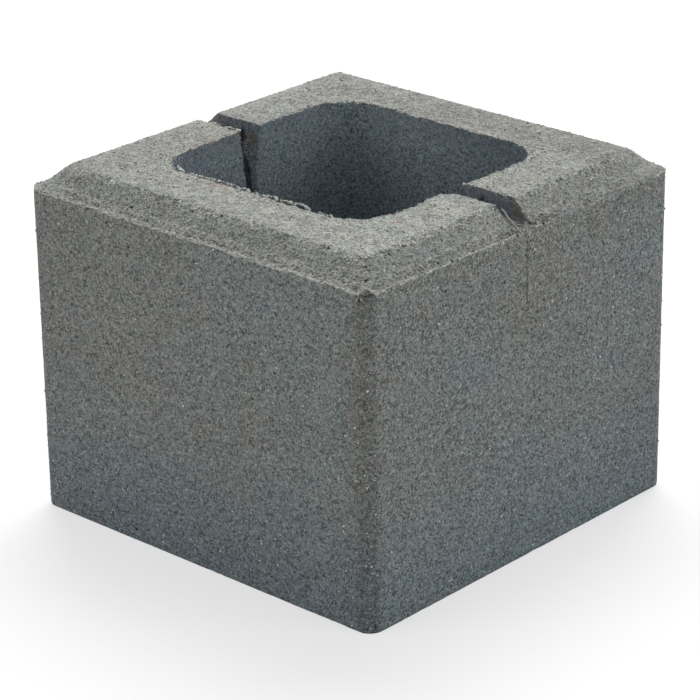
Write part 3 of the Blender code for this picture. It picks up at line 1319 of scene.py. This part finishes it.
@dataclass(kw_only=True)
class Trim:
    """Small solids heaped up on the casting, and dressed as one piece."""

    block: CastBlock
    name: str
    seed: int
    sizes: Pair
    heap: Heap = field(default_factory=Heap, init=False, repr=False)
    draw: np.random.Generator = field(init=False, repr=False)

    def __post_init__(self) -> None:
        """Start the piece's own random draws."""
        self.draw = np.random.default_rng(self.seed)

    def drawn(self, count: int, power: int = 2) -> np.ndarray:
        """Draw the sizes of some grains, of which most are small."""
        low, high = self.sizes
        return low + (high - low) * self.draw.random(count) ** power

    def strew(self, middles: np.ndarray, sizes: np.ndarray, fine: bool = True) -> None:
        """Add grains to the heap, of twenty faces each or of eight."""
        self.heap.grains(middles, sizes, self.draw, fine)

    def fill(self) -> None:
        """Heap up the piece's solids."""
        raise NotImplementedError

    def build(self, material: bpy.types.Material) -> bpy.types.Object:
        """Fill the heap and make the piece from it."""
        self.fill()
        return self.heap.piece(self.name, material)


@dataclass(kw_only=True)
class LipFlash(Trim):
    """The thin ragged line of fines along the lip's outer edge."""

    name: str = "lip_flash"
    seed: int = 5
    sizes: Pair = (0.00026, 0.00090)
    spacing: float = 0.0009
    inset: float = 0.0007
    radius: float = 0.00031
    lowest: float = 0.1884
    chip: Pair = (0.1222, -0.1222)
    chip_reach: float = 0.0042
    chip_inset: float = 0.0021
    shortest: int = 5
    jitter: Triple = (0.00040, 0.00040, 0.00022)
    waves: tuple[tuple[float, int], ...] = ((0.0085, 41), (0.0035, 42), (0.0021, 43))

    @staticmethod
    def strength(spot: Vector) -> float:
        """Judge how strong the flash is at a place along the lip.

        Args:
            spot: The place in plan.

        Returns:
            1 where it is unbroken, and 0 where there is none.
        """
        if spot.y < -0.1135:
            return 1.0
        if spot.x > 0.1135:
            if abs(spot.y + 0.001) < 0.0085:
                return 0.0
            return 0.72 if spot.y < -0.060 else 0.55 if spot.y < -0.018 else 0.25
        return 0.62 if spot.x > -0.040 else 0.48

    def fill(self) -> None:
        """Lay the flash round the block, in broken strands beset with grains."""
        run: list[Vector] = []
        radii: list[float] = []
        seats: list[Vector] = []
        for spot in PLAN.outline(self.spacing):
            probe = np.array([spot])
            gate, wander, swell = (self.block.noise.smooth(probe, *wave)[0] for wave in self.waves)
            if gate * 0.5 + 0.5 >= self.strength(spot):
                self.lay(run, radii)
                run, radii = [], []
                continue
            away = math.dist(spot.to_2d(), self.chip) / self.chip_reach
            back = self.inset + 0.00040 * wander + self.chip_inset * max(0.0, 1.0 - away ** 2)
            seat = spot * (1.0 - back / HALF)
            level = max(self.block.level_at(seat.x, seat.y), self.lowest)
            run.append(Vector((seat.x, seat.y, level + 0.00008)))
            radii.append(self.radius * (0.85 + 0.70 * swell))
            seats.extend([run[-1]] * (1 + (swell > 0.0)))
        self.lay(run, radii)
        middles = np.array(seats) + self.draw.normal(size=(len(seats), 3)) * self.jitter
        self.strew(middles, self.drawn(len(seats)))

    def lay(self, run: list[Vector], radii: list[float]) -> None:
        """Add one strand, with its ends drawn out thin, unless it is too short."""
        if len(run) >= self.shortest:
            self.heap.strand(np.array(run), np.array(radii) * taper(len(run), 0.25, 3.0))


@dataclass(kw_only=True)
class RimBurr(Trim):
    """The crumbly burr that the core pulls up along the rim of the hollow, with its curls."""

    name: str = "rim_burr"
    seed: int = 11
    sizes: Pair = (0.00030, 0.00100)
    level: float = 0.2013
    spacing: float = 0.00062
    jitter: float = 0.00030
    runs: tuple[tuple[Pair, ...], ...] = (
        ((-0.0470, -0.0757), (-0.0400, -0.0750), (-0.0300, -0.0742), (-0.0204, -0.0735),
         (-0.0130, -0.0744), (-0.0100, -0.0757)),
        ((-0.0112, -0.0757), (-0.0096, -0.0739), (-0.0070, -0.0730), (-0.0050, -0.0738),
         (-0.0056, -0.0754), (-0.0030, -0.0759)),
        ((-0.0015, -0.0758), (0.0030, -0.0749), (0.0080, -0.0754)),
        ((0.0080, -0.0755), (0.0098, -0.0735), (0.0128, -0.0724), (0.0153, -0.0730),
         (0.0150, -0.0748), (0.0172, -0.0757)),
        ((0.0176, -0.0752), (0.0215, -0.0740), (0.0260, -0.0741), (0.0300, -0.0753)),
        ((0.0288, -0.0729), (0.0322, -0.0722), (0.0364, -0.0734), (0.0414, -0.0754)),
        ((-0.0620, -0.0705), (-0.0575, -0.0736), (-0.0520, -0.0754)),
        ((0.0756, 0.0079), (0.0750, 0.0066), (0.0754, 0.0060), (0.0780, 0.0070), (0.0810, 0.0074)),
        ((0.0470, -0.0757), (0.0520, -0.0751), (0.0560, -0.0741)),
        ((-0.0766, -0.0072), (-0.0800, -0.0067), (-0.0850, -0.0069), (-0.0890, -0.0072)),
        ((-0.0930, -0.0072), (-0.0980, -0.0070), (-0.1010, -0.0072)))

    def fill(self) -> None:
        """Lay the burr in short runs along the rim and the groove's edge."""
        for run in self.runs:
            corners = np.array(run)
            lengths = np.linalg.norm(np.diff(corners, axis=0), axis=1)
            reach = np.concatenate([[0.0], np.cumsum(lengths)])
            plan = followed(corners, reach, np.arange(0.0, reach[-1], self.spacing))
            middles = np.column_stack([plan, np.full(len(plan), self.level)])
            middles += self.draw.normal(size=middles.shape) * self.jitter
            self.strew(middles, self.drawn(len(plan)))


@dataclass(kw_only=True)
class GrooveFin(Trim):
    """The thin fin of fines that stands along the groove's side on the +X bevel."""

    name: str = "groove_fin"
    seed: int = 17
    sizes: Pair = (0.5, 1.0)
    radius: float = 0.00034
    steps: int = 30
    grains: int = 80
    jitter: Triple = (0.00028, 0.00024, 0.00024)
    corners: tuple[Triple, ...] = ((0.1115, -0.0058, 0.1996), (0.1134, -0.0056, 0.1980),
                                   (0.1163, -0.0056, 0.1951), (0.1198, -0.0048, 0.1917),
                                   (0.1223, -0.0039, 0.1892), (0.1246, -0.0031, 0.1866))

    def fill(self) -> None:
        """Lay the fin down the bevel, growing thicker, and beset it with grains."""
        noise, last = self.block.noise, len(self.corners) - 1.0
        path = followed(np.array(self.corners), np.arange(len(self.corners)),
                        np.linspace(0.0, last, self.steps))
        path[:, 1] += 0.00025 * noise.smooth(path, 0.003, 61)
        swell = np.linspace(0.8, 1.8, self.steps) * (1.0 + 0.45 * noise.smooth(path, 0.0016, 62))
        self.heap.strand(path, self.radius * swell * taper(self.steps, 0.3, 4.0))
        held = self.draw.integers(0, self.steps, self.grains)
        seats = path[held] + self.draw.normal(size=(self.grains, 3)) * self.jitter
        shares = self.draw.uniform(*self.sizes, self.grains)
        self.strew(seats, shares * (0.8 + 0.9 * held / self.steps) * self.radius)


@dataclass(kw_only=True)
class OutletRubble(Trim):
    """The broken grains left where the groove runs out over the +X lip."""

    name: str = "outlet_rubble"
    seed: int = 23
    sizes: Pair = (0.00035, 0.00105)
    furthest: float = 0.1243
    heaps: tuple[tuple[float, float, float, float, int], ...] = (
        (0.1205, 0.0004, 0.0022, 0.0024, 60), (0.1226, 0.0150, 0.0010, 0.0070, 70),
        (0.1228, -0.0130, 0.0008, 0.0050, 34), (0.1230, 0.0500, 0.0007, 0.0060, 26))

    def fill(self) -> None:
        """Strew each heap over the casting's surface."""
        for x, y, wide, long, count in self.heaps:
            plan = np.stack([np.minimum(self.draw.normal(x, wide, count), self.furthest),
                             self.draw.normal(y, long, count)], axis=1)
            sizes = self.drawn(count)
            levels = np.array([self.block.level_at(*spot) for spot in plan]) + sizes * 0.15
            self.strew(np.column_stack([plan, levels]), sizes)


@dataclass(kw_only=True)
class EdgeGrit(Trim):
    """The grains that stand loose in the crumbled edges of the crown."""

    name: str = "edge_grit"
    seed: int = 7
    sizes: Pair = (0.00035, 0.00085)
    count: int = 1700

    @staticmethod
    def closeness(co: np.ndarray) -> np.ndarray:
        """Measure how near each point is to an edge of the crown.

        Args:
            co: The points.

        Returns:
            1 on an edge and 0 away from them.
        """
        depth, wall, level = PLAN.depth(co), PLAN.wall(co), co[:, 2]
        near = np.zeros(len(co))
        for across, above, reach, weight in (
                (depth - PLAN.bed_inset, level - TOP, 0.0022, 1.0),
                (depth - PLAN.lip_width, level - LIP, 0.0025, 0.9),
                (depth, level - LIP, 0.0012, 0.5),
                (wall, level - TOP, 0.0014, 0.9)):
            near = np.maximum(near, weight * fade(-np.hypot(across, above), -reach, 0.0))
        slope = fade(depth, 0.003, 0.005) * fade(-depth, -0.017, -0.015) * fade(level, 0.189, 0.191)
        return np.maximum(near, 0.16 * slope) * (1.0 - PLAN.calm(co)) ** 2

    def fill(self) -> None:
        """Set the grains half into the casting's surface."""
        co = self.block.co
        chance = self.closeness(co)
        seats = self.draw.choice(len(co), self.count, replace=False, p=chance / chance.sum())
        self.strew(co[seats], self.drawn(self.count))


@dataclass(kw_only=True)
class CrownGrains(Trim):
    """The fine grains that stand out of the cement on one part of the crown."""

    on_bed: bool
    count: int
    sizes: Pair = (0.00034, 0.00072)
    jitter: float = 0.00025

    def fill(self) -> None:
        """Set the grains into the casting's surface."""
        co, normals = self.block.co, self.block.normals
        flat = fade(co[:, 2], 0.2004, 0.2010)
        chance = fade(co[:, 2], 0.1900, 0.1906) * fade(PLAN.wall(co), -0.0002, 0.0004)
        chance *= (flat if self.on_bed else 1.0 - flat) * (1.0 - 0.8 * PLAN.calm(co))
        seats = self.draw.choice(len(co), self.count, p=chance / chance.sum())
        sizes = self.drawn(self.count)
        middles = co[seats] - normals[seats] * sizes[:, None] * 0.20
        spread = self.draw.normal(size=middles.shape) * self.jitter
        self.strew(middles + spread * (1.0 - np.abs(normals[seats])), sizes, fine=False)


@dataclass(kw_only=True)
class ShowingStones(Trim):
    """Single stones that lie flush in the casting's surface, or black lumps of painted shade in the marked
    pits.
    """

    marks: tuple[Mark, ...] = ()
    counts: tuple[int, int, int] = (0, 0, 0)
    sizes: Pair = (0.0, 0.0)
    sink: float = 0.42
    mark_share: float = 0.75

    def seats(self) -> np.ndarray:
        """Choose places on the sides, in the hollow and on the crown.

        Returns:
            The places, three numbers to a row, near the surface.
        """
        sides, crown, hollow = self.counts
        rows = []
        for count, out, top in ((sides, HALF, 0.190), (hollow, BORE, 0.200)):
            along = self.draw.uniform(-out, out, count)
            levels = self.draw.uniform(0.0, top, count)
            quarter = self.draw.integers(0, 4, count) * (math.pi / 2.0)
            rows.append(np.stack([out * np.cos(quarter) - along * np.sin(quarter),
                                  out * np.sin(quarter) + along * np.cos(quarter), levels], axis=1))
        plan = self.draw.uniform(-HALF, HALF, (crown * 2, 2))
        plan = plan[np.abs(plan).max(axis=1) > BORE][:crown]
        rows.append(np.column_stack([plan, np.full(len(plan), TOP)]))
        return np.concatenate(rows)

    def fill(self) -> None:
        """Set the marked stones into the casting, and then those that lie anywhere."""
        marked = np.array([mark.place for mark in self.marks]).reshape(-1, 3)
        seats = np.concatenate([marked, self.seats()])
        sizes = self.drawn(len(seats), 3)
        sizes[:len(self.marks)] = [mark.radius * self.mark_share for mark in self.marks]
        middles = np.zeros((len(seats), 3))
        for row, (seat, size) in enumerate(zip(seats, sizes)):
            found, normal = self.block.surface.find_nearest(Vector(seat))[:2]
            middles[row] = found - normal * (size * self.sink)
        self.strew(middles, sizes)


@dataclass(frozen=True)
class Lamp:
    """One soft square lamp that looks at the block."""

    name: str
    place: Triple
    size: float
    power: float
    target: Triple = (0.0, 0.0, 0.12)

    def build(self) -> None:
        """Hang the lamp."""
        light = bpy.data.lights.new(self.name, "AREA")
        light.shape = "SQUARE"
        light.size = self.size
        light.energy = self.power
        lamp = bpy.data.objects.new(self.name, light)
        bpy.context.scene.collection.objects.link(lamp)
        lamp.location = self.place
        way = Vector(self.target) - Vector(self.place)
        lamp.rotation_mode = "QUATERNION"
        lamp.rotation_quaternion = way.to_track_quat("-Z", "Y")


@dataclass(frozen=True)
class Studio:
    """The floor, the lamps and the camera."""

    floor_half: float = 6.0
    floor_drop: float = 0.00002
    ambient: float = 0.30
    lamps: tuple[Lamp, ...] = (
        Lamp("overhead_softbox", (-1.30, 1.80, 3.70), 2.7, 188.0),
        Lamp("front_left_fill", (-0.9, -2.2, 1.1), 1.6, 16.4),
        Lamp("front_right_fill", (2.2, 0.6, 1.1), 1.6, 18.2),
    )
    camera_place: Triple = (1.080027, -1.173688, 0.754636)
    camera_right: Triple = (0.7389457, 0.6736248, -0.0137429)
    camera_down: Triple = (0.2505750, -0.2936929, -0.9224731)
    lens: float = 159.40
    sensor: float = 36.0
    clip: Pair = (0.05, 50.0)

    def floor(self) -> None:
        """Lay the floor just under the block."""
        mesh = bpy.data.meshes.new("studio_floor")
        half = self.floor_half
        corners = [(-half, -half, 0.0), (half, -half, 0.0), (half, half, 0.0), (-half, half, 0.0)]
        mesh.from_pydata(corners, [], [(0, 1, 2, 3)])
        mesh.materials.append(PaleFloor().build())
        ground = bpy.data.objects.new("studio_floor", mesh)
        ground.location.z = -self.floor_drop
        bpy.context.scene.collection.objects.link(ground)

    def sky(self) -> None:
        """Give the world a plain light, and a white look to the camera."""
        world = bpy.data.worlds.new("studio_world")
        bpy.context.scene.world = world
        bench = Bench(world)
        dim, bright = (
            bench.node("ShaderNodeBackground", {}, {"Color": rgba(WHITE), "Strength": strength})
            for strength in (self.ambient, 1.0))
        shown = bench.split((Ray.CAMERA, Ray.GLOSSY), dim.outputs[0], bright.outputs[0])
        bench.finish("ShaderNodeOutputWorld", "ShaderNodeMixShader", shown)

    def camera(self) -> None:
        """Stand the camera where it sees the block as a buyer would."""
        data = bpy.data.cameras.new("studio_camera")
        data.lens = self.lens
        data.sensor_width = self.sensor
        data.clip_start, data.clip_end = self.clip
        camera = bpy.data.objects.new("studio_camera", data)
        bpy.context.scene.collection.objects.link(camera)
        right = Vector(self.camera_right).normalized()
        up = -Vector(self.camera_down).normalized()
        turn = Matrix((right, up, right.cross(up))).transposed()
        camera.matrix_world = Matrix.Translation(Vector(self.camera_place)) @ turn.to_4x4()
        bpy.context.scene.camera = camera

    def build(self) -> None:
        """Set up the whole studio."""
        self.floor()
        self.sky()
        for lamp in self.lamps:
            lamp.build()
        self.camera()
        bpy.context.scene.view_settings.view_transform = "Standard"


def report(piece: bpy.types.Object) -> None:
    """Log one piece's name and its number of faces."""
    LOG.info("%s: %d faces", piece.name, len(piece.data.polygons))


def main() -> None:
    """Build the block's pieces in order, then the studio."""
    logging.basicConfig(level=logging.INFO, format="%(name)s %(message)s")
    concrete = DryConcrete().build()
    fines = SqueezedFines().build()
    packed = SqueezedFines("packed_fines", (0.400, 0.400, 0.372), (0.270, 0.267, 0.246)).build()
    dark = LooseStone("dark_stone", (0.085, 0.090, 0.090), (0.040, 0.043, 0.043)).build()
    pale = LooseStone("pale_stone", (0.540, 0.545, 0.515), (0.800, 0.800, 0.760)).build()
    shadow = LooseStone("pit_shadow", (0.046, 0.048, 0.046), (0.030, 0.032, 0.031)).build()
    block = CastBlock(Noise(20))
    report(block.build(concrete))
    for trim, finish in (
            (LipFlash(block=block), fines),
            (RimBurr(block=block), fines),
            (GrooveFin(block=block), packed),
            (OutletRubble(block=block), concrete),
            (EdgeGrit(block=block), concrete),
            (CrownGrains(block=block, name="bed_grains", on_bed=True, count=16_000, seed=31), concrete),
            (CrownGrains(block=block, name="bevel_grains", on_bed=False, count=10_000, seed=33), concrete),
            # Painted shade: black lumps set flush into the marked pits stand in for the shade inside them.
            (ShowingStones(block=block, name="pit_shade_lumps", marks=PITS, seed=45, sink=0.34,
                           mark_share=0.86), shadow),
            (ShowingStones(block=block, name="dark_stones", counts=(3000, 900, 900),
                           sizes=(0.00034, 0.00105), seed=41), dark),
            (ShowingStones(block=block, name="pale_stones", marks=FLECKS, counts=(6200, 650, 0),
                           sizes=(0.00034, 0.00085), seed=43), pale)):
        report(trim.build(finish))
    Studio().build()
    bpy.context.view_layer.update()


if __name__ == "__main__":
    main()
